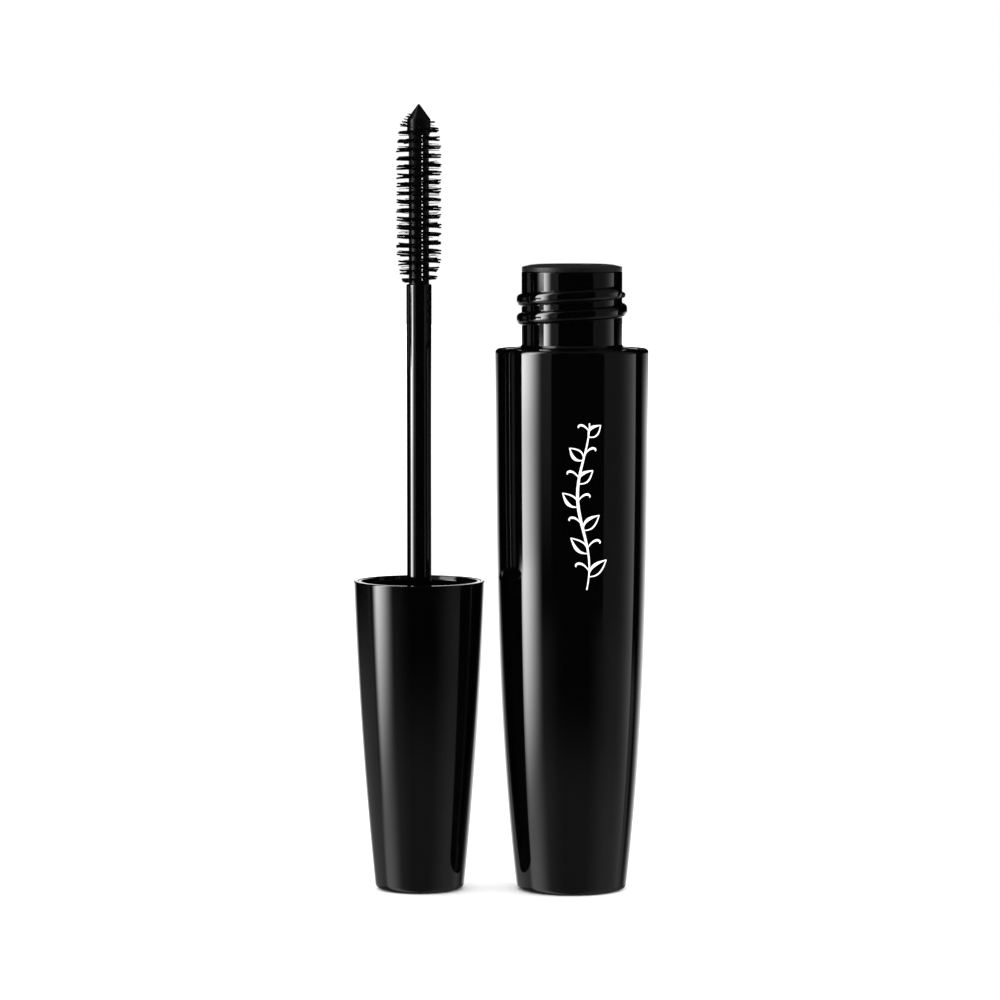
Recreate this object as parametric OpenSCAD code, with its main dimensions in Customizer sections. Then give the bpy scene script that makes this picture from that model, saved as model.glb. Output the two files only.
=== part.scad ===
// Mascara tube, opened: the bottle stands at the origin and the applicator
// stands beside it on its closed end, brush up.
// Millimetres. +Z is up. The origin is the centre of the bottle's foot.

/* [Bottle] */
// Greatest outside diameter of the bottle, at its shoulder
body_d = 22; // [21.6:0.2:23]
// Height of the bottle's body, from its foot to its shoulder
body_h = 78; // [74:0.2:84]
// How much narrower the body is at its foot than at its shoulder
body_taper = 6.2; // [5:0.2:6.4]
// Wall of the outer shell
shell_wall = 1.2; // [1:0.1:1.3]
// Radius of the rounded edge round the foot of the bottle
foot_round = 0.9; // [0.5:0.1:1.2]
// Outside diameter of the neck
neck_d = 14.4; // [14.2:0.1:14.6]
// Height of the neck above the shoulder
neck_h = 11; // [11:0.1:11.6]
// Bore of the vial and of its neck
vial_bore_d = 11.4; // [11:0.1:11.6]

/* [Screw thread] */
// Outside diameter over the neck's thread
thread_d = 15.8; // [15.6:0.1:15.8]
// Rise of the thread in one turn
thread_pitch = 2.7; // [2.5:0.1:2.8]
// Turns of thread on the neck
neck_turns = 1.58; // [1.3:0.02:1.6]
// Turns of thread inside the cap
cap_turns = 1.25; // [1:0.05:1.3]

/* [Cap] */
// Outside diameter of the cap at its open rim
cap_d = 18.9; // [18.8:0.1:19.4]
// Length of the cap
cap_h = 44.6; // [42:0.2:50]
// How much narrower the cap is at its closed end than at its rim
cap_taper = 6.1; // [5.4:0.1:6.2]
// Distance between the bottle's axis and the applicator's
stand_gap = 21.9; // [21.6:0.1:30]

/* [Wand] */
// Diameter of the stem
stem_d = 3.6; // [3.4:0.1:3.7]
// Length of the stem that shows between the cap's rim and the brush
stem_reach = 42.6; // [38:0.2:44]
// Length of the brush
brush_l = 25.7; // [22:0.1:27]
// Greatest diameter over the bristles
brush_d = 6.6; // [5:0.1:7]
// Distance between two bristles of one row
bristle_pitch = 1.24; // [1.1:0.02:1.6]
// Bristles round the core in one ring
bristles_round = 9; // [7:1:10]

/* [Hidden] */
$fn = 96;

// Gap left between two pieces that are pushed together
fit_gap = 0.02;
// Extra reach of a cutting solid past the face it cuts
over = 1;

// Bottle
body_r = body_d / 2;
profile_steps = 20;
floor_t = 2.2;
label_r = 5.6;
label_t = 0.1;
recess_depth = 0.3;

// Vial
vial_r = vial_bore_d / 2 + 0.9;
vial_foot_z = 3;
vial_floor_z = 4.2;
flange_r = body_r - shell_wall - fit_gap;
flange_t = 1.6;
crown_h = 0.25;
collar_h = 0.5;
collar_r = neck_d / 2 + 0.12;
neck_top_z = body_h + neck_h;

// Wiper
orifice_r = stem_d / 2 + 0.09;
wiper_barrel_r = vial_bore_d / 2 - fit_gap;
wiper_barrel_l = 5.5;
wiper_tip_z = -13;
wiper_wall = 0.8;
wiper_edge_t = 0.62;
wiper_crown_t = 1.1;

// Paste left in the vial, hollow down to where the closed brush ends
paste_top_z = 58;
paste_floor_z = max(vial_floor_z + 1, body_h - stem_reach - brush_l - 0.3);
paste_hollow_r = 3.7;

// Cap
cap_r = cap_d / 2;
cap_end_round = 1;
cap_end_t = 1.5;
cavity_mouth_r = cap_r - 0.6;
cavity_step_r = cavity_mouth_r - 0.55;
cavity_depth = 14;
inner_bore_r = thread_d / 2 + 0.1;
seal_bore_r = neck_d / 2 + 0.3;
thread_room = 9.5;
lead_in_w = 0.35;
lead_in_h = 0.5;
socket_depth = neck_h + 1.5;
ceiling_t = 1.3;
boss_r = 3.5;
boss_foot_z = 14;
liner_t = 0.75;

// Wand
stem_r = stem_d / 2;
stem_foot_z = 17;
stem_top_z = cap_h + stem_reach;
spigot_r = 1.2;
spigot_l = 6;
core_r = 1.46;
head_r = 1.68;
head_l = 4.6;
head_cone_l = 2.2;
bristle_t = 0.2;

// Radius of the bottle's body at height z: a nearly straight upper half that
// curves in towards the foot
function body_radius(z) =
    let (u = (body_h - z) / body_h)
    body_r - body_taper / 2 * (0.1 * u + 0.9 * pow(u, 3.3));

// Radius of the cap at height z above its closed end
function cap_radius(z) =
    let (u = (cap_h - z) / cap_h)
    cap_r - cap_taper / 2 * (0.48 * u + 0.52 * u * u);

// Points on an arc in a profile, from angle a0 to angle a1
function arc(centre, r, a0, a1, steps = 6) =
    [for (i = [0:steps]) let (a = a0 + (a1 - a0) * i / steps) centre + r * [cos(a), sin(a)]];

// One ring of corners of a ridge that runs round the Z axis. The ridge is
// as thick as its foot at radius foot_r and thinner at radius crest_r.
function ridge_ring(a, z, foot_r, crest_r, foot_t, crest_t) =
    [for (p = [[foot_r, -foot_t / 2], [crest_r, -crest_t / 2], [crest_r, crest_t / 2], [foot_r, foot_t / 2]])
        [p[0] * cos(a), p[0] * sin(a), z + p[1]]];

// Right-handed screw ridge that starts at angle a0 and height z0, and sinks
// into the wall over the first and last steps
module screw_ridge(a0, z0, turns, foot_r, crest_r, foot_t, crest_t) {
    per_turn = 24;
    steps = round(turns * per_turn);
    fade = [for (i = [0:steps]) min(1, 0.25 + 0.75 * min(i, steps - i) / 2)];
    rings = [for (i = [0:steps])
        ridge_ring(a0 + 360 * i / per_turn, z0 + thread_pitch * i / per_turn,
                   foot_r, foot_r + (crest_r - foot_r) * fade[i], foot_t, crest_t)];
    corners = [for (ring = rings) each ring];
    inward = crest_r < foot_r;
    sides = [for (i = [0:steps - 1], k = [0:3])
        let (a = 4 * i + k, b = 4 * i + (k + 1) % 4)
        inward ? [a, a + 4, b + 4, b] : [a, b, b + 4, a + 4]];
    ends = [for (first = [0, 4 * steps])
        let (clockwise = (first == 0) != inward)
        [for (k = [0:3]) first + (clockwise ? 3 - k : k)]];
    polyhedron(points = corners, faces = concat(sides, ends), convexity = 10);
}

// Moves a piece of the applicator to where the applicator stands
module at_applicator() {
    translate([-stand_gap, 0, 0])
        children();
}

// Glossy outer shell: a tapered cup with a rounded foot and a rounded rim
module bottle_shell() {
    rim_round = 0.55;
    z_low = foot_round;
    z_high = body_h - rim_round;
    outside = concat(
        [[0, 0]],
        arc([body_radius(z_low) - foot_round, foot_round], foot_round, -90, 0),
        [for (i = [1:profile_steps]) let (z = z_low + (z_high - z_low) * i / profile_steps)
            [body_radius(z), z]],
        arc([body_r - rim_round, z_high], rim_round, 15, 90, 4),
        [[0, body_h]]);
    inside = concat(
        [[0, floor_t]],
        [for (i = [0:profile_steps]) let (z = floor_t + (body_h - 3 - floor_t) * i / profile_steps)
            [body_radius(z) - shell_wall, z]],
        [[body_r - shell_wall, body_h - 2.5], [body_r - shell_wall, body_h + over], [0, body_h + over]]);
    color([0.03, 0.03, 0.035])
    difference() {
        rotate_extrude()
            polygon(outside);
        rotate_extrude()
            polygon(inside);
        translate([0, 0, -over])
            cylinder(h = over + recess_depth, r = label_r + 0.1);
    }
}

// Reservoir with its shoulder, collar and threaded neck
module inner_vial() {
    neck_r = neck_d / 2;
    lug_z = body_h + 7.4;
    color([0.05, 0.05, 0.055])
    difference() {
        union() {
            translate([0, 0, vial_foot_z])
                cylinder(h = neck_top_z - vial_foot_z, r = vial_r);
            translate([0, 0, body_h - flange_t])
                cylinder(h = flange_t, r = flange_r);
            translate([0, 0, body_h])
                cylinder(h = crown_h, r1 = flange_r - 0.4, r2 = collar_r + 0.3);
            translate([0, 0, body_h])
                cylinder(h = crown_h + collar_h, r = collar_r);
            translate([0, 0, body_h])
                cylinder(h = neck_h, r = neck_r);
            screw_ridge(120, body_h + 3.75, neck_turns, neck_r - 0.3, thread_d / 2, 1.8, 1);
            rotate([0, 0, 12])
                translate([neck_r - 0.3, 0, lug_z])
                    linear_extrude(0.7)
                        polygon([[0, -0.9], [0.8, -0.5], [0.8, 0.5], [0, 0.9]]);
        }
        translate([0, 0, vial_floor_z])
            cylinder(h = neck_top_z, r = vial_bore_d / 2);
    }
}

// Insert that strips the stem and levels the load on the brush
module wiper() {
    flange_edge_r = neck_d / 2 - 0.03;
    entry_r = wiper_barrel_r - 1.1;
    section = [
        [flange_edge_r, fit_gap], [flange_edge_r, wiper_edge_t - 0.1],
        [flange_edge_r - 0.1, wiper_edge_t], [flange_edge_r - 1.2, wiper_crown_t - 0.15],
        [entry_r + 0.5, wiper_crown_t], [entry_r + 0.1, wiper_crown_t - 0.1],
        [entry_r, wiper_crown_t - 0.4], [entry_r, -4.5], [orifice_r, wiper_tip_z + 2],
        [orifice_r, wiper_tip_z], [orifice_r + wiper_wall - 0.1, wiper_tip_z],
        [orifice_r + wiper_wall, wiper_tip_z + 1.6], [wiper_barrel_r - 0.4, -wiper_barrel_l],
        [wiper_barrel_r, 0.4 - wiper_barrel_l], [wiper_barrel_r, fit_gap]];
    color([0.14, 0.14, 0.14])
    translate([0, 0, neck_top_z])
        rotate_extrude()
            polygon(section);
}

// Paste in the vial, with the hollow that the brush leaves in it
module mascara_formula() {
    paste_r = vial_bore_d / 2 - 2 * fit_gap;
    section = [
        [0, vial_floor_z + fit_gap], [paste_r, vial_floor_z + fit_gap], [paste_r, paste_top_z + 3],
        [paste_r - 0.6, paste_top_z + 1], [paste_hollow_r + 0.4, paste_top_z],
        [paste_hollow_r, paste_top_z - 2], [paste_hollow_r, paste_floor_z + 2], [0, paste_floor_z]];
    color([0.02, 0.02, 0.02])
    rotate_extrude()
        polygon(section);
}

// Round label in the recess under the foot
module base_label() {
    color([0.85, 0.85, 0.84])
    translate([0, 0, recess_depth - label_t])
        cylinder(h = label_t - 0.005, r = label_r);
}

// Glossy cap: a tapered cup that stands on its closed end
module outer_cap() {
    rim_round = 0.12;
    outside = concat(
        [[0, 0]],
        arc([cap_radius(cap_end_round) - cap_end_round, cap_end_round], cap_end_round, -90, 0),
        [for (i = [1:profile_steps])
            let (z = cap_end_round + (cap_h - rim_round - cap_end_round) * i / profile_steps)
            [cap_radius(z), z]],
        [[cap_r - rim_round, cap_h], [0, cap_h]]);
    step_z = cap_h - cavity_depth;
    inside = [
        [0, cap_end_t], [cap_radius(cap_end_t + 1) - 1.6, cap_end_t],
        [cap_radius(step_z - 6) - 1.6, step_z - 6], [cavity_step_r - 1, step_z - fit_gap],
        [cavity_step_r, step_z - fit_gap], [cavity_mouth_r, cap_h + fit_gap], [0, cap_h + fit_gap]];
    color([0.03, 0.03, 0.035])
    at_applicator()
        difference() {
            rotate_extrude()
                polygon(outside);
            rotate_extrude()
                polygon(inside);
        }
}

// Insert in the cap, with a lead-in, the screw thread and the socket of the
// stem
module inner_cap() {
    step_z = cap_h - cavity_depth;
    ceiling_z = cap_h - socket_depth;
    rim_z = cap_h - 0.06;
    lead_in = [
        [0, rim_z - lead_in_h], [inner_bore_r, rim_z - lead_in_h], [inner_bore_r + lead_in_w, rim_z],
        [inner_bore_r + lead_in_w, rim_z + over], [0, rim_z + over]];
    color([0.05, 0.05, 0.055])
    at_applicator()
        difference() {
            union() {
                difference() {
                    translate([0, 0, step_z])
                        cylinder(h = rim_z - step_z, r1 = cavity_step_r - fit_gap, r2 = cavity_mouth_r - fit_gap);
                    translate([0, 0, ceiling_z])
                        cylinder(h = cap_h, r = seal_bore_r);
                    translate([0, 0, cap_h - thread_room])
                        cylinder(h = cap_h, r = inner_bore_r);
                    rotate_extrude()
                        polygon(lead_in);
                }
                translate([0, 0, boss_foot_z])
                    cylinder(h = ceiling_z - boss_foot_z, r = boss_r);
                screw_ridge(200, cap_h - 6.6, cap_turns, inner_bore_r + 0.25, neck_d / 2 + 0.2, 1.3, 0.45);
            }
            translate([0, 0, stem_foot_z - fit_gap])
                cylinder(h = cap_h, r = stem_r + fit_gap);
        }
}

// Sealing washer on the inner cap's ceiling
module cap_liner() {
    color([0.75, 0.74, 0.7])
    at_applicator()
        translate([0, 0, cap_h - socket_depth + 0.05])
            difference() {
                cylinder(h = liner_t, r = seal_bore_r - 0.25);
                translate([0, 0, -over])
                    cylinder(h = liner_t + 2 * over, r = stem_r + 0.4);
            }
}

// Wand rod, with a socket in its end for the brush
module stem() {
    edge = 0.25;
    color([0.04, 0.04, 0.045])
    at_applicator()
        difference() {
            union() {
                translate([0, 0, stem_foot_z])
                    cylinder(h = stem_top_z - edge - stem_foot_z, r = stem_r);
                translate([0, 0, stem_top_z - edge])
                    cylinder(h = edge, r1 = stem_r, r2 = stem_r - edge);
            }
            translate([0, 0, stem_top_z - spigot_l - 0.2])
                cylinder(h = spigot_l + over, r = spigot_r + fit_gap);
        }
}

// Reach of a bristle at height t along the brush, from 0 at the stem to 1 at
// the tip
function bristle_reach(t) =
    brush_d / 2 * (t < 0.2 ? 0.72 + 0.28 * sin(450 * t) : t > 0.72 ? cos(200 * (t - 0.72)) : 1);

// Star of pointed bristles, one layer of the brush
module bristle_ring(reach) {
    step = 360 / bristles_round;
    root_half = atan(bristle_t * 0.7 / core_r);
    tip_half = atan(bristle_t * 0.35 / reach);
    star = [for (i = [0:bristles_round - 1], p = [[core_r - 0.15, -root_half * 1.4], [core_r + 0.1, -root_half],
                                                 [reach, -tip_half], [reach, tip_half],
                                                 [core_r + 0.1, root_half], [core_r - 0.15, root_half * 1.4]])
        p[0] * [cos(i * step + p[1]), sin(i * step + p[1])]];
    linear_extrude(bristle_t)
        polygon(star);
}

// Moulded brush: spigot, core, pointed head and rows of bristles
module brush() {
    tip_z = stem_top_z + brush_l;
    head_z = tip_z - head_l;
    first_z = stem_top_z + 0.4;
    rings = floor((tip_z - 3.3 - first_z) / (bristle_pitch / 2));
    core_section = [
        [0, stem_top_z - spigot_l], [spigot_r, stem_top_z - spigot_l], [spigot_r, stem_top_z + fit_gap],
        [core_r, stem_top_z + fit_gap], [core_r, head_z], [head_r, head_z + 0.5],
        [head_r, tip_z - head_cone_l], [0.2, tip_z - 0.08], [0, tip_z]];
    color([0.04, 0.04, 0.04])
    at_applicator() {
        rotate_extrude()
            polygon(core_section);
        for (i = [0:rings]) {
            z = first_z + i * bristle_pitch / 2;
            translate([0, 0, z])
                rotate([0, 0, (i % 2) * 180 / bristles_round])
                    bristle_ring(bristle_reach((z - stem_top_z) / brush_l));
        }
    }
}

bottle_shell();
inner_vial();
wiper();
mascara_formula();
base_label();
outer_cap();
inner_cap();
cap_liner();
stem();
brush();
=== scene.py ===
"""Looks of an opened mascara tube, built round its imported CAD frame.

Lengths in this script are millimetres, with heights measured from the surface
that the tube stands on. Finished meshes are in metres, in the CAD frame.
"""
import math
import random

import bmesh
import bpy
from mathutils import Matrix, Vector


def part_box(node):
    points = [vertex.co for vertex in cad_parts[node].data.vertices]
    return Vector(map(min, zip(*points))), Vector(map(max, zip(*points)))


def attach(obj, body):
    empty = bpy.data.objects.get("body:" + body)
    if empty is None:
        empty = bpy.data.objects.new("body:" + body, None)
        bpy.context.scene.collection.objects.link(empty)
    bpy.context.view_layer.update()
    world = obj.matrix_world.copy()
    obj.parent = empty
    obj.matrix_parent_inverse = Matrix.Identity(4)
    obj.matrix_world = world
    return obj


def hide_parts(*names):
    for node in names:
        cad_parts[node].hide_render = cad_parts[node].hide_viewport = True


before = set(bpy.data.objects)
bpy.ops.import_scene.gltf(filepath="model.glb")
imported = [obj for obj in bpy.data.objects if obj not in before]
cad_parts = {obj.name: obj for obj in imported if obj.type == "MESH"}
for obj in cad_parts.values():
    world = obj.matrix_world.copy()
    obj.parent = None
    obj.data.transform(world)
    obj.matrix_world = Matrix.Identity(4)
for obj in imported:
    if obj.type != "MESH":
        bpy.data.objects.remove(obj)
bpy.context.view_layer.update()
MM = 0.001


def measure(node):
    """Lowest and highest corner of a CAD node, in millimetres."""
    low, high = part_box(node)
    return low / MM, high / MM


# Sizes read from the frame
SHELL_TOP = measure("bottle_shell")[1]
VIAL_LOW, VIAL_HIGH = measure("inner_vial")
CAP_LOW, CAP_HIGH = measure("outer_cap")
STEM_LOW, STEM_HIGH = measure("stem")
BRUSH_LOW, BRUSH_HIGH = measure("brush")

BODY_R = SHELL_TOP.x
BODY_H = SHELL_TOP.z
VIAL_FOOT = VIAL_LOW.z
NECK_TOP = VIAL_HIGH.z
CAP_X = (CAP_LOW.x + CAP_HIGH.x) / 2
CAP_R = (CAP_HIGH.x - CAP_LOW.x) / 2
CAP_H = CAP_HIGH.z
STEM_R = (STEM_HIGH.x - STEM_LOW.x) / 2
STEM_FOOT = STEM_LOW.z
STEM_TOP = STEM_HIGH.z
BRUSH_R = (BRUSH_HIGH.x - BRUSH_LOW.x) / 2
TIP_Z = BRUSH_HIGH.z
BRUSH_L = TIP_Z - STEM_TOP

# Sizes that the design gives and the boxes don't: the bottle's
GAP = 0.02
BODY_TAPER = 6.2
SHELL_WALL = 1.2
FOOT_ROUND = 0.9
RIM_ROUND = 0.55
FLOOR_T = 2.2
LABEL_R = 5.6
RECESS = 0.3
NECK_R = 7.2
VIAL_R = 6.6
VIAL_FLOOR = 4.2
BORE_R = 5.7
FLANGE_R = BODY_R - SHELL_WALL - GAP
FLANGE_T = 1.6
CROWN_H = 0.25
THREAD_PITCH = 2.7
THREAD_HALF_W = 0.92
NECK_THREAD_H = 0.7
NECK_THREAD_START = BODY_H + 3.75
NECK_THREAD_ANGLE = 120
NECK_TURNS = 1.58
LUG_Z = BODY_H + 7.6
LUG_ANGLE = 12
ORIFICE_R = 1.89

# The cap's and its insert's
CAP_TAPER = 6.1
CAP_END_T = 1.5
CAP_WALL = 1.6
CAVITY_DEPTH = 14
CAVITY_MOUTH_R = CAP_R - 0.6
CAVITY_STEP_R = CAVITY_MOUTH_R - 0.55
SOCKET_DEPTH = 12.5
THREAD_ROOM = 9.5
INNER_BORE_R = 8.0
LEAD_IN_W = 0.35
LEAD_IN_H = 0.5
SEAL_BORE_R = 7.5
CAP_THREAD_H = 0.6
CAP_THREAD_START = CAP_H - 6.6
CAP_THREAD_ANGLE = 200
CAP_TURNS = 1.25
BOSS_R = 3.5
BOSS_FOOT = 14

# The brush's and its bristles'
SPIGOT_R = 1.2
SPIGOT_L = 6
CORE_R = 1.46
HEAD_R = 1.68
HEAD_L = 4.6
HEAD_CONE_L = 2.2
BRISTLE_ROWS = 18
BRISTLE_PITCH = 1.24
BRISTLES_FOOT = STEM_TOP + 0.4
BRISTLES_TOP = TIP_Z - 3.4

# The ornament's
VINE_FOOT = 44.2
VINE_H = 23.6
VINE_ASIDE = 1.5
LEAF_HALF_W = 0.66
PEN_THIN = 0.14

ROUND = 256


# Shapes

def body_radius(z):
    """Radius of the bottle at height z."""
    u = (BODY_H - z) / BODY_H
    return BODY_R - BODY_TAPER / 2 * (0.1 * u + 0.9 * u**3.3)


def cap_radius(z):
    """Radius of the cap at height z."""
    u = (CAP_H - z) / CAP_H
    return CAP_R - CAP_TAPER / 2 * (0.48 * u + 0.52 * u * u)


def steps(first, last, count):
    """Evenly spaced values from first to last, both included."""
    return [first + (last - first) * i / count for i in range(count + 1)]


def rounded(corners, arc_steps=6):
    """Outline through (radius, height, fillet) corners, with an arc at each corner that has a
    fillet, and a point close by on either side of the arc that keeps the shading of the flats flat."""
    outline = []
    for i, (r, z, fillet) in enumerate(corners):
        corner = Vector((r, z))
        if fillet == 0:
            outline.append(corner)
            continue
        before = (Vector(corners[i - 1][:2]) - corner).normalized()
        after = (Vector(corners[(i + 1) % len(corners)][:2]) - corner).normalized()
        half = before.angle(after) / 2
        reach = fillet / math.tan(half)
        middle = corner + (before + after).normalized() * fillet / math.sin(half)
        start = corner + before * reach - middle
        end = corner + after * reach - middle
        sweep = start.angle(end)
        outline.append(corner + before * reach * 1.05)
        for t in steps(0, 1, arc_steps):
            point = (start * math.sin((1 - t) * sweep) + end * math.sin(t * sweep)) / math.sin(sweep)
            outline.append(middle + point)
        outline.append(corner + after * reach * 1.05)
    return outline


def make_object(name, points, faces, crease=35):
    """Mesh object in metres, from points in millimetres. It is shaded smooth, except across edges
    sharper than crease degrees."""
    mesh = bpy.data.meshes.new(name)
    mesh.from_pydata([Vector(p) * MM for p in points], [], faces)
    work = bmesh.new()
    work.from_mesh(mesh)
    bmesh.ops.recalc_face_normals(work, faces=work.faces)
    work.to_mesh(mesh)
    work.free()
    mesh.shade_smooth()
    mesh.set_sharp_from_angle(angle=math.radians(crease))
    made = bpy.data.objects.new(name, mesh)
    bpy.context.scene.collection.objects.link(made)
    return made


def lathe(name, outline, centre_x=0, swell=None):
    """Solid turned round a vertical axis from an outline of (radius, height) points. An outline that
    doesn't begin and end on the axis is closed into a ring. swell(degrees, radius, height) adds to
    a radius."""
    points, rings = [], []
    for r, z in outline:
        count = ROUND if r > 1e-6 else 1
        rings.append(range(len(points), len(points) + count))
        for k in range(count):
            angle = 360 * k / ROUND
            reach = r + swell(angle, r, z) if swell and count > 1 else r
            turn = math.radians(angle)
            points.append((centre_x + reach * math.cos(turn), reach * math.sin(turn), z))
    if len(rings[0]) > 1:
        rings.append(rings[0])
    faces = []
    for low, high in zip(rings, rings[1:]):
        for k in range(ROUND):
            n = (k + 1) % ROUND
            face = [low[k % len(low)], low[n % len(low)], high[n % len(high)], high[k % len(high)]]
            face = list(dict.fromkeys(face))
            if len(face) > 2:
                faces.append(face)
    return make_object(name, points, faces)


def ridge(offset):
    """Height of a moulded ridge, from 1 on its crest to 0 at its foot, at an offset in half widths."""
    return (1 - offset**4) ** 0.7 if offset < 1 else 0


def screw_ridge(angle, z, start_angle, start_z, turns, radius):
    """Height, as a share of its crest's, of a right-handed screw ridge with blunt ends, at one place
    on a wall of that radius."""
    first = (angle - start_angle) % 360 / 360
    best = 0
    for lap in range(-1, math.ceil(turns) + 1):
        turn = first + lap
        on_ridge = min(max(turn, 0), turns)
        overrun = abs(turn - on_ridge) * math.tau * radius
        rise = z - start_z - THREAD_PITCH * on_ridge
        best = max(best, ridge(math.hypot(rise, overrun) / THREAD_HALF_W))
    return best


# Materials

def put(tree, kind, inputs=None, **settings):
    """Adds a node with its settings to a tree. An input given a socket is linked, any other is set."""
    made = tree.nodes.new(kind)
    for key, value in settings.items():
        setattr(made, key, value)
    for key, value in (inputs or {}).items():
        if isinstance(value, bpy.types.NodeSocket):
            tree.links.new(value, made.inputs[key])
        else:
            made.inputs[key].default_value = value
    return made


def calculate(tree, operation, *values):
    """Result of a Math node on sockets and numbers."""
    return put(tree, "ShaderNodeMath", dict(enumerate(values)), operation=operation).outputs[0]


def cloud(tree, grain, stretch=(1, 1, 1)):
    """Noise from 0 to 1 with patches about grain millimetres wide, stretched along the axes."""
    place = put(tree, "ShaderNodeTexCoord").outputs["Object"]
    mapping = {"Vector": place, "Scale": [1 / s for s in stretch]}
    scaled = put(tree, "ShaderNodeMapping", mapping).outputs[0]
    noise = {"Vector": scaled, "Scale": 1 / (grain * MM), "Detail": 3}
    return put(tree, "ShaderNodeTexNoise", noise).outputs[0]


def between(tree, share, low, high):
    """Value that runs from low to high as share runs over the middle of its range."""
    wanted = {"Value": share, "From Min": 0.3, "From Max": 0.7, "To Min": low, "To Max": high}
    return put(tree, "ShaderNodeMapRange", wanted).outputs["Result"]


def blend_colours(tree, share, first, second):
    """Colour between two greys or colours."""
    mixed = put(tree, "ShaderNodeMix", {"Factor": share}, data_type="RGBA")
    mixed.inputs["A"].default_value = (*first, 1)
    mixed.inputs["B"].default_value = (*second, 1)
    return mixed.outputs["Result"]


def surface(name, colours, rough, grain, relief, patch=9, stretch=(1, 1, 1), **constants):
    """Moulded or pressed material. Its colour and roughness drift over patches, and a fine grain
    lifts its surface by relief. Grain, relief and patch are in millimetres."""
    made = bpy.data.materials.new(name)
    made.use_nodes = True
    tree = made.node_tree
    shader = tree.nodes["Principled BSDF"]
    drift = cloud(tree, patch)
    fine = cloud(tree, grain, stretch)
    bump = put(tree, "ShaderNodeBump", {"Height": fine, "Distance": relief * MM, "Strength": 1.0})
    tree.links.new(blend_colours(tree, drift, *colours), shader.inputs["Base Color"])
    tree.links.new(between(tree, cloud(tree, patch / 4), *rough), shader.inputs["Roughness"])
    tree.links.new(bump.outputs["Normal"], shader.inputs["Normal"])
    for key, value in constants.items():
        shader.inputs[key.replace("_", " ")].default_value = value
    return made


def grey(value):
    """Neutral colour."""
    return (value, value, value)


def make_materials():
    """Every material of the tube, by name."""
    black = (grey(0.0004), (0.0007, 0.0007, 0.0009))
    looks = {
        "shell_gloss": dict(colours=black, rough=(0.025, 0.045), grain=0.9, relief=0.00006),
        "vial_gloss": dict(colours=black, rough=(0.025, 0.045), grain=0.7, relief=0.00006),
        "wiper_matt": dict(colours=(grey(0.0015), grey(0.003)), rough=(0.36, 0.5), grain=0.12,
                           relief=0.01, patch=2, stretch=(6, 6, 1), Specular_IOR_Level=0.3),
        "paste": dict(colours=(grey(0.002), grey(0.004)), rough=(0.12, 0.3), grain=0.8,
                      relief=0.08, patch=3),
        "label_paper": dict(colours=(grey(0.72), grey(0.8)), rough=(0.5, 0.65), grain=0.08,
                            relief=0.008, patch=2),
        "liner_foam": dict(colours=((0.5, 0.49, 0.45), (0.6, 0.59, 0.55)), rough=(0.7, 0.9),
                           grain=0.15, relief=0.04, patch=2),
        "stem_gloss": dict(colours=black, rough=(0.03, 0.05), grain=0.7, relief=0.00006, IOR=1.7),
        "brush_plastic": dict(colours=(grey(0.0004), grey(0.001)), rough=(0.2, 0.3), grain=0.2,
                              relief=0.004, patch=2, Specular_IOR_Level=0.12),
        "ink": dict(colours=(grey(0.8), grey(0.88)), rough=(0.35, 0.5), grain=0.1,
                    relief=0.002, patch=2),
    }
    return {name: surface(name, **look) for name, look in looks.items()}


MATERIALS = make_materials()


def dress(piece, body, material, replaces=None):
    """Gives a new piece its material slot and its body, and hides the CAD node that it stands for."""
    piece.data.materials.append(MATERIALS[material])
    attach(piece, body)
    if replaces:
        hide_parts(replaces)


def dress_cad(node, material):
    """Gives a CAD node that stays in view its material."""
    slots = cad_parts[node].data.materials
    slots.clear()
    slots.append(MATERIALS[material])


# Bottle

def make_shell():
    """Glossy outer shell: a tapered cup with a rounded foot and rim."""
    outside = [(body_radius(z), z, 0) for z in steps(2, BODY_H - 1.4, 60)]
    inside = [(body_radius(z) - SHELL_WALL, z, 0) for z in steps(BODY_H - 3, FLOOR_T, 24)]
    outline = rounded([
        (0, RECESS, 0), (LABEL_R + 0.1, RECESS, 0.06), (LABEL_R + 0.1, 0, 0.1),
        (body_radius(0), 0, FOOT_ROUND), *outside,
        (BODY_R, BODY_H, RIM_ROUND), (BODY_R - SHELL_WALL, BODY_H, 0.04),
        (BODY_R - SHELL_WALL, BODY_H - 2.5, 0), *inside, (0, FLOOR_T, 0)])
    dress(lathe("outer_shell", outline), "bottle", "shell_gloss", "bottle_shell")


def neck_swell(angle, r, z):
    """What stands out of the neck's wall: its screw thread and the stop lug behind the thread's end."""
    if abs(r - NECK_R) > 1e-4:
        return 0
    thread = screw_ridge(angle, z, NECK_THREAD_ANGLE, NECK_THREAD_START, NECK_TURNS, NECK_R)
    lug_side = math.radians((angle - LUG_ANGLE + 180) % 360 - 180) * NECK_R
    lug = ridge(math.hypot(lug_side / 1.05, (z - LUG_Z) / 0.5))
    return max(NECK_THREAD_H * thread, 0.6 * lug)


def make_vial():
    """Vial with its shoulder and its threaded neck."""
    shoulder = BODY_H + CROWN_H
    neck = [(NECK_R, z, 0) for z in steps(BODY_H + 1.5, NECK_TOP - 0.5, 190)]
    outline = rounded([
        (0, VIAL_FOOT, 0), (VIAL_R, VIAL_FOOT, 0.5), (VIAL_R, BODY_H - FLANGE_T, 0),
        (FLANGE_R, BODY_H - FLANGE_T, 0.1), (FLANGE_R, BODY_H, 0.04), (NECK_R + 0.22, shoulder, 0.03),
        (NECK_R, shoulder + 0.3, 0.03), *neck, (NECK_R, NECK_TOP, 0.12),
        (BORE_R, NECK_TOP, 0.1), (BORE_R, VIAL_FLOOR, 0.8), (0, VIAL_FLOOR, 0)], 5)
    dress(lathe("vial", outline, swell=neck_swell), "bottle", "vial_gloss", "inner_vial")


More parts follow.
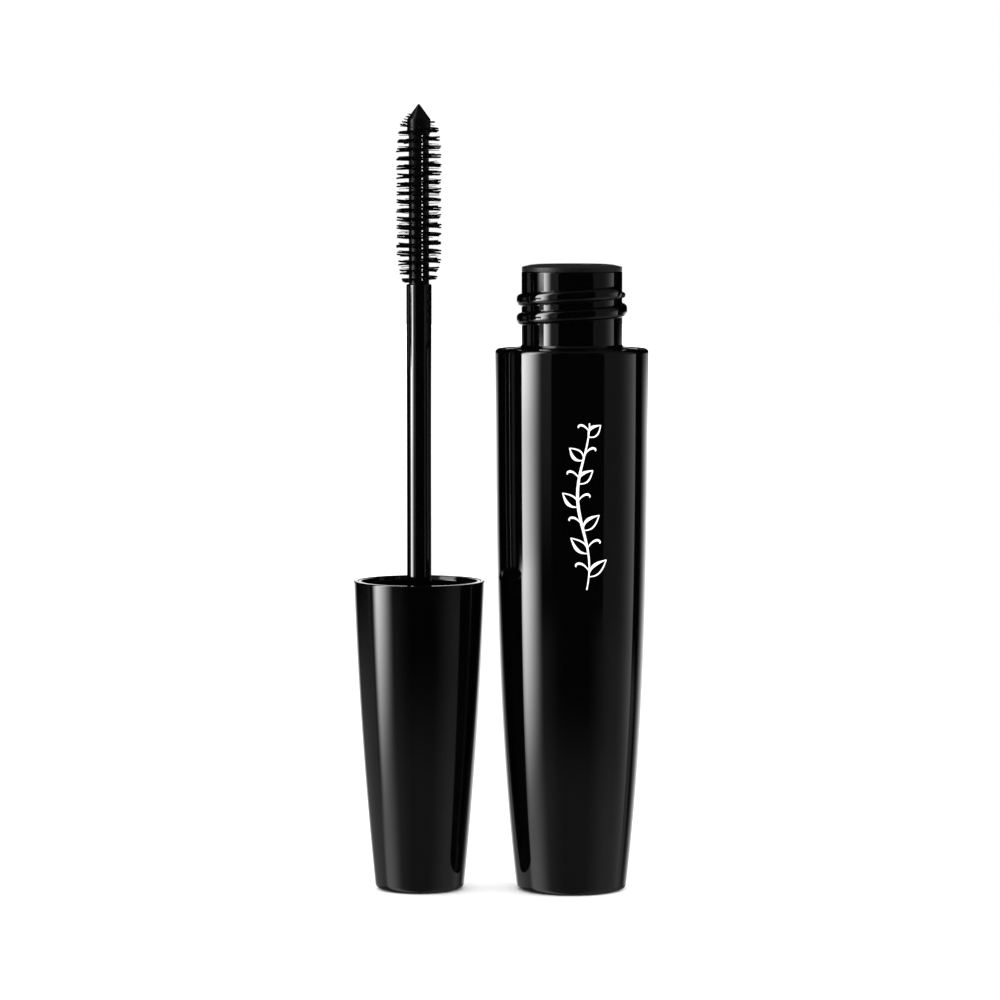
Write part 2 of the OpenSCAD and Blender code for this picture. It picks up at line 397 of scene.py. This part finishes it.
def make_wiper():
    """Soft wiper: a crowned flange on the neck, a funnel and a lip."""
    edge_r = NECK_R - 0.03
    entry_r = BORE_R - 1.12
    barrel_r = BORE_R - GAP
    lip_r = ORIFICE_R + 0.8
    funnel_z = -4.5
    lip_z = -11
    foot_z = -13
    outline = rounded([(r, NECK_TOP + z, fillet) for r, z, fillet in (
        (edge_r, GAP, 0.05), (edge_r, 0.68, 0.1), (edge_r - 1.2, 0.97, 0.8), (entry_r, 1.1, 0.3),
        (entry_r, funnel_z, 0.8), (ORIFICE_R, lip_z, 0.5), (ORIFICE_R, foot_z, 0.1),
        (lip_r, foot_z, 0.3), (lip_r, lip_z - 0.4, 0.4), (barrel_r - 0.2, funnel_z - 1, 0.3),
        (barrel_r, funnel_z - 0.4, 0.2), (barrel_r, GAP, 0.04))])
    dress(lathe("wiper_insert", outline), "bottle", "wiper_matt", "wiper")


# Applicator

def make_cap():
    """Glossy cap: a tapered cup that stands on its closed end."""
    step_z = CAP_H - CAVITY_DEPTH
    outside = [(cap_radius(z), z, 0) for z in steps(2, CAP_H - 0.4, 40)]
    outline = rounded([
        (0, 0, 0), (cap_radius(0), 0, 1.0), *outside,
        (CAP_R, CAP_H, 0.14), (CAVITY_MOUTH_R, CAP_H, 0.05),
        (CAVITY_STEP_R, step_z, 0), (CAVITY_STEP_R - 1, step_z, 0),
        (cap_radius(step_z - 6) - CAP_WALL, step_z - 6, 0),
        (cap_radius(CAP_END_T + 1) - CAP_WALL, CAP_END_T, 0.6), (0, CAP_END_T, 0)])
    dress(lathe("cap_shell", outline, CAP_X), "applicator", "shell_gloss", "outer_cap")


def cap_swell(angle, r, z):
    """Screw ridge that stands in from the wall of the cap's socket."""
    if abs(r - INNER_BORE_R) > 1e-4:
        return 0
    thread = screw_ridge(angle, z, CAP_THREAD_ANGLE, CAP_THREAD_START, CAP_TURNS, INNER_BORE_R)
    return -CAP_THREAD_H * thread


def make_cap_insert():
    """Insert in the cap, with the screw thread and the socket of the stem."""
    step_z = CAP_H - CAVITY_DEPTH
    ceiling = CAP_H - SOCKET_DEPTH
    rim = CAP_H - 0.06
    thread = [(INNER_BORE_R, z, 0) for z in steps(rim - LEAD_IN_H - 0.4, CAP_H - THREAD_ROOM, 150)]
    outline = rounded([
        (0, BOSS_FOOT, 0), (BOSS_R, BOSS_FOOT, 0.4), (BOSS_R, step_z, 0.3),
        (CAVITY_STEP_R - GAP, step_z, 0.1), (CAVITY_MOUTH_R - GAP, rim, 0.06),
        (INNER_BORE_R + LEAD_IN_W, rim, 0.08), (INNER_BORE_R, rim - LEAD_IN_H, 0.2), *thread,
        (SEAL_BORE_R, CAP_H - THREAD_ROOM, 0.15), (SEAL_BORE_R, ceiling, 0.3),
        (STEM_R + GAP, ceiling, 0.12), (STEM_R + GAP, STEM_FOOT - GAP, 0), (0, STEM_FOOT - GAP, 0)], 5)
    piece = lathe("cap_insert", outline, CAP_X, swell=cap_swell)
    dress(piece, "applicator", "vial_gloss", "inner_cap")


def make_stem():
    """Wand rod, with the socket that takes the brush."""
    hole_r = SPIGOT_R + GAP
    hole_foot = STEM_TOP - SPIGOT_L - 0.2
    outline = rounded([
        (0, STEM_FOOT, 0), (STEM_R, STEM_FOOT, 0.25), (STEM_R, STEM_TOP, 0.25),
        (hole_r, STEM_TOP, 0.04), (hole_r, hole_foot, 0.1), (0, hole_foot, 0)])
    dress(lathe("wand_rod", outline, CAP_X), "applicator", "stem_gloss", "stem")


def make_core():
    """Brush core: a spigot in the stem, a rod and a pointed head."""
    foot = STEM_TOP - SPIGOT_L
    head = TIP_Z - HEAD_L
    outline = rounded([
        (0, foot, 0), (SPIGOT_R, foot, 0.2), (SPIGOT_R, STEM_TOP + GAP, 0),
        (CORE_R, STEM_TOP + GAP, 0), (CORE_R, head, 0), (HEAD_R, head + 0.5, 0.3),
        (HEAD_R, TIP_Z - HEAD_CONE_L, 0.4), (0.16, TIP_Z - 0.1, 0.1), (0, TIP_Z, 0)])
    dress(lathe("brush_core", outline, CAP_X), "applicator", "brush_plastic", "brush")


def make_mould_lines():
    """Thin glossy seams that the halves of the mould leave along the brush's core."""
    points, faces = [], []
    for azimuth in (110, 290):
        for z in (STEM_TOP + 0.5, TIP_Z - HEAD_L + 0.1):
            for turn, r in ((-5, CORE_R - 0.05), (1, CORE_R + 0.14), (3.5, CORE_R - 0.05)):
                angle = math.radians(azimuth + turn)
                points.append((CAP_X + r * math.cos(angle), r * math.sin(angle), z))
        a = len(points) - 6
        faces += [[a, a + 1, a + 4, a + 3], [a + 1, a + 2, a + 5, a + 4], [a + 2, a, a + 3, a + 5]]
        faces += [[a + 2, a + 1, a], [a + 3, a + 4, a + 5]]
    dress(make_object("mould_lines", points, faces), "applicator", "stem_gloss")


def bristle_reach(t):
    """Reach of a bristle from the axis, at share t of the way from the stem to the brush's tip."""
    if t < 0.2:
        return BRUSH_R * (0.72 + 0.28 * math.sin(math.radians(450 * t)))
    if t > 0.72:
        return BRUSH_R * math.cos(math.radians(200 * (t - 0.72)))
    return BRUSH_R


def add_bristle(points, faces, azimuth, z, reach, thick, rise, dice):
    """Adds one tapered, slightly bent bristle with a blunt tip. It climbs by rise millimetres
    for each millimetre of its length."""
    sides = 6
    outward = Vector((math.cos(azimuth), math.sin(azimuth), 0))
    sideways = Vector((-math.sin(azimuth), math.cos(azimuth), 0))
    upward = Vector((0, 0, 1))
    lean = dice.uniform(-0.05, 0.05)
    bend = dice.uniform(-0.08, 0.08)
    start = min(CORE_R, reach) - 0.3
    length = (reach - start) * dice.uniform(0.95, 1.0)
    first = len(points)
    profile = [(0, 1.0), (0.3, 0.95), (0.6, 0.85), (0.9, 0.75), (0.97, 0.65), (1, 0.4)]
    for t, share in profile:
        centre = Vector((CAP_X, 0, z)) + outward * (start + length * t)
        centre += sideways * lean * length * t + upward * (rise + bend * t) * length * t
        for k in range(sides):
            turn = math.tau * k / sides
            aside = sideways * math.cos(turn) + upward * math.sin(turn)
            points.append(centre + aside * thick * share)
    for ring in range(len(profile) - 1):
        for k in range(sides):
            a = first + ring * sides + k
            b = first + ring * sides + (k + 1) % sides
            faces.append([a, b, b + sides, a + sides])
    faces.append([first + k for k in reversed(range(sides))])
    faces.append([first + (len(profile) - 1) * sides + k for k in range(sides)])


def make_bristles():
    """Rows of moulded bristles along the core. Odd rows sit a little higher than even ones, thin
    bristles stand in some of the gaps, and short ones climb the head on the left."""
    dice = random.Random(11)
    points, faces = [], []
    for row in range(BRISTLE_ROWS):
        azimuth = math.tau * (row + 0.7) / BRISTLE_ROWS
        across = math.cos(azimuth)
        z = BRISTLES_FOOT + BRISTLE_PITCH * (0.25 * (row % 2) + (0.3 if across > 0 else 0))
        while z < BRISTLES_TOP:
            reach = bristle_reach((z - STEM_TOP) / BRUSH_L)
            height = z + dice.uniform(-0.05, 0.05)
            add_bristle(points, faces, azimuth, height, reach, dice.uniform(0.18, 0.21), 0, dice)
            if dice.random() < 0.3:
                halfway = z + BRISTLE_PITCH / 2 + dice.uniform(-0.1, 0.1)
                thin_reach = CORE_R + (reach - CORE_R) * 0.85
                add_bristle(points, faces, azimuth, halfway, thin_reach, 0.06, 0, dice)
            z += BRISTLE_PITCH
        for i in range(5 if across < -0.7 else 0):
            reach = 2.75 - 0.28 * i
            height = BRISTLES_TOP + 0.1 + 0.44 * i
            add_bristle(points, faces, azimuth, height, reach, 0.13 - 0.01 * i, 0.25, dice)
        if across > 0.9:
            add_bristle(points, faces, azimuth, BRISTLES_TOP + 0.8, 2.35, 0.17, 0, dice)
    piece = make_object("bristles", points, faces, 60)
    dress(piece, "applicator", "brush_plastic")


# Printed ornament

def on_front(across, z, lift):
    """Point on the bottle's front, across millimetres to the right of its middle line and lift
    millimetres off its surface."""
    r = body_radius(z)
    turn = across / r
    return Vector(((r + lift) * math.sin(turn), -(r + lift) * math.cos(turn), z))


def add_stroke(points, faces, path, widths, lift):
    """Adds a flat stroke of ink along a path of (across, height) points, with its width at each."""
    first = len(points)
    last = len(path) - 1
    for i, (spot, width) in enumerate(zip(path, widths)):
        ahead = Vector(path[min(i + 1, last)]) - Vector(path[max(i - 1, 0)])
        normal = Vector((-ahead.y, ahead.x)).normalized() * width / 2
        left, right = Vector(spot) + normal, Vector(spot) - normal
        for edge, height in ((left, lift), (right, lift), (right, -0.03), (left, -0.03)):
            points.append(on_front(edge.x, edge.y, height))
    for i in range(last):
        for k in range(4):
            a, b = first + 4 * i + k, first + 4 * i + (k + 1) % 4
            faces.append([a, b, b + 4, a + 4])
    faces.append([first + 3, first + 2, first + 1, first])
    faces.append([first + 4 * last + k for k in range(4)])


def swelling(count, thin, thick):
    """Widths of a pen stroke that is thick in its middle and thin at both ends."""
    return [thin + (thick - thin) * math.sin(math.pi * t) ** 2 for t in steps(0, 1, count)]


def leaf_path(base, heading, length, side):
    """One edge of a leaf from its base to its tip. Side 1 bulges to the left of the leaf's heading
    and side -1 to its right."""
    along = Vector((math.cos(heading), math.sin(heading)))
    across = Vector((-along.y, along.x)) * side
    return [Vector(base) + along * length * t + across * LEAF_HALF_W * math.sin(math.pi * t**0.8)
            for t in steps(0, 1, 16)]


def curl_path(base, heading, size, side):
    """A tendril that leaves its base along heading and winds up into a small curl."""
    spot = Vector(base)
    turn = heading
    path = [spot]
    for t in steps(0, 1, 36):
        turn += side * 0.06 * (0.6 + 3.6 * t * t)
        spot = spot + Vector((math.cos(turn), math.sin(turn))) * size * (1.15 - t) / 18
        path.append(spot)
    return path


def vine(t):
    """Middle line of the vine at share t of its height, as (across, height)."""
    return (VINE_ASIDE + 0.85 * math.sin(math.tau * 1.15 * t + 0.6), VINE_FOOT + VINE_H * t)


def make_ornament():
    """A printed vine with open leaves and curls up the front of the bottle."""
    points, faces = [], []
    stem = [vine(t) for t in steps(0, 1, 90)]
    add_stroke(points, faces, stem, swelling(90, 0.18, 0.4), 0.02)
    leaves = 7
    for i in range(leaves):
        t = 0.08 + 0.84 * i / (leaves - 1)
        side = 1 if i % 2 else -1
        length = 3.6 - 1.3 * t
        heading = math.pi / 2 + side * 0.85
        base = vine(t)
        left_edge = leaf_path(base, heading, length, 1)
        right_edge = leaf_path(base, heading, length, -1)
        add_stroke(points, faces, left_edge, swelling(16, PEN_THIN, 0.44), 0.022)
        add_stroke(points, faces, right_edge, swelling(16, PEN_THIN, 0.22), 0.024)
        curl = curl_path(vine(t + 0.03), math.pi / 2 - side * 0.5, 2.1 - 0.5 * t, -side)
        add_stroke(points, faces, curl, swelling(len(curl) - 1, PEN_THIN, 0.3), 0.026)
    piece = make_object("vine_print", points, faces, 60)
    dress(piece, "bottle", "ink")


# Studio

# Each card of light is a level with gates on the compass angle and on the tilt above the horizon,
# in degrees. Compass 0 is the front, and negative is left. A gate (a, b) lets nothing through at a
# and everything at b.
BODY_SIDE = [(-46, -80), (-82.5, -81.5)]
NECK_SIDE = [(-48, -70), (-69, -68)]
CARDS = [
    # Tall light at the left, seen in the bottle's sides from their top down and in the cap
    (12.8, BODY_SIDE, [(-6.8, -6.2), (-2.25, -2.5)]),
    (4.6, BODY_SIDE, [(-3.9, -2.7), (-2.25, -2.5)]),
    (17.0, [(-46, -80), (-92, -79)], [(-17, -4), (-6.2, -6.8)]),
    # Its upper part, seen in upright walls such as the neck's and the stem's
    (14.0, NECK_SIDE, [(-2.5, -2.25), (50, 25)]),
    (4.5, NECK_SIDE, [(-2.5, -2.25), (-1.4, -2)]),
    (5.5, [(-68, -69), (-90, -70)], [(-1.5, -1.42), (-0.9, -1.1)]),
    (13.0, [(-68, -69), (-84, -81)], [(-1.1, -0.9), (50, 25)]),
    # High card that glints in the cap's mouth
    (4.0, [(-58, -66), (-104, -92)], [(36, 42), (66, 58)]),
    # Glow round the tall light
    (0.28, [(-31, -33), (-82.5, -81.5)], [(-8, -2), (75, 50)]),
    (0.20, [(-12, -60), (-98, -86)], [(-7, -10)]),
    (1.25, [(-42, -76), (-98, -86)], [(-13, -17)]),
    # Faint light at the far left
    (0.22, [(-101, -103), (-127, -124)], [(-2.5, -2.25), (1, -0.5)]),
    (0.14, [(-96.5, -98), (-105, -102)], [(-12, -4), (-2.25, -2.5)]),
    (0.32, [(-88, -98)], [(-25, -19), (-6, -12)]),
    # Wide soft light at the right
    (0.15, [(48.5, 49.5), (111.5, 110.5)], [(-9.5, -7.5), (60, 40)]),
    (1.40, [(64, 124), (64, 124), (111.5, 110.5)], [(-20, -4), (1, -0.5)]),
    (0.22, [(22, 72), (128, 116)], [(-7.5, -9.5)]),
    # Light all round from below
    (0.14, [], [(-11, -17)]),
    # Lights behind, seen in the edges of the tapers and of the shoulder
    (1.90, [(126, 160)], [(-17, -8), (-1.6, -3.6)]),
    (1.60, [(-144, -162)], [(-17, -8), (-1.6, -3.6)]),
    (1.70, [(164, 172)], [(4.8, 5.0), (5.6, 5.4)]),
    (1.70, [(-164, -172)], [(4.8, 5.0), (5.6, 5.4)]),
    # Ceiling
    (0.10, [], [(40, 70)]),
]


def gate(tree, value, start, end):
    """Smooth step from 0 at start to 1 at end."""
    wanted = {"Value": value, "From Min": start, "From Max": end}
    return put(tree, "ShaderNodeMapRange", wanted, interpolation_type="SMOOTHSTEP").outputs["Result"]


def make_world():
    """White room, in which polished surfaces mirror the cards of light and the dark between them."""
    world = bpy.data.worlds.new("studio")
    bpy.context.scene.world = world
    world.use_nodes = True
    tree = world.node_tree
    tree.nodes.clear()
    ray = put(tree, "ShaderNodeTexCoord").outputs["Generated"]
    axes = put(tree, "ShaderNodeSeparateXYZ", {0: ray}).outputs
    front = calculate(tree, "MULTIPLY", axes["Y"], -1)
    compass = calculate(tree, "DEGREES", calculate(tree, "ARCTAN2", axes["X"], front))
    tilt = calculate(tree, "DEGREES", calculate(tree, "ARCSINE", axes["Z"]))
    total = 0
    for level, across, up in CARDS:
        card = level
        for value, gates in ((compass, across), (tilt, up)):
            for start, end in gates:
                card = calculate(tree, "MULTIPLY", gate(tree, value, start, end), card)
        total = calculate(tree, "ADD", card, total)
    path = put(tree, "ShaderNodeLightPath").outputs
    levels = {"Value": path["Is Camera Ray"], "To Min": 2.2, "To Max": 1.0}
    room = put(tree, "ShaderNodeMapRange", levels).outputs["Result"]
    white = put(tree, "ShaderNodeBackground", {"Color": (1, 1, 1, 1), "Strength": room})
    cards = put(tree, "ShaderNodeBackground", {"Color": (1, 1, 1, 1), "Strength": total})
    views = {0: path["Is Glossy Ray"], 1: white.outputs[0], 2: cards.outputs[0]}
    mixed = put(tree, "ShaderNodeMixShader", views)
    put(tree, "ShaderNodeOutputWorld", {0: mixed.outputs[0]})


def make_floor():
    """Pale round table top, out of sight of mirrored rays."""
    radius = 2500
    sides = 96
    angles = [math.tau * k / sides for k in range(sides)]
    rim = [Vector((radius * math.cos(a), radius * math.sin(a), -GAP)) * MM for a in angles]
    mesh = bpy.data.meshes.new("floor")
    mesh.from_pydata(rim, [], [list(range(sides))])
    floor = bpy.data.objects.new("floor", mesh)
    bpy.context.scene.collection.objects.link(floor)
    floor.visible_glossy = False
    mesh.materials.append(surface("floor", (grey(0.9), grey(0.92)), (0.8, 0.9), 2, 0.002, 60))


def make_camera():
    """Camera in front of the pair and a little above the bottle's neck, looking slightly down."""
    aim = Vector((-10.3, 0, 56.2)) * MM
    place = Vector((-10.3, -648, 102.6)) * MM
    lens = bpy.data.cameras.new("camera")
    lens.lens = 162.8
    lens.sensor_width = 36
    lens.clip_start = 0.05
    camera = bpy.data.objects.new("camera", lens)
    camera.location = place
    camera.rotation_mode = "QUATERNION"
    camera.rotation_quaternion = (aim - place).to_track_quat("-Z", "Y")
    bpy.context.scene.collection.objects.link(camera)
    bpy.context.scene.camera = camera


def set_colours():
    """Plain colour, with no film look."""
    view = bpy.context.scene.view_settings
    view.view_transform = "Standard"
    view.look = "None"


make_shell()
make_vial()
make_wiper()
make_cap()
make_cap_insert()
make_stem()
make_core()
make_mould_lines()
make_bristles()
make_ornament()
dress_cad("mascara_formula", "paste")
dress_cad("base_label", "label_paper")
dress_cad("cap_liner", "liner_foam")
make_world()
make_floor()
make_camera()
set_colours()
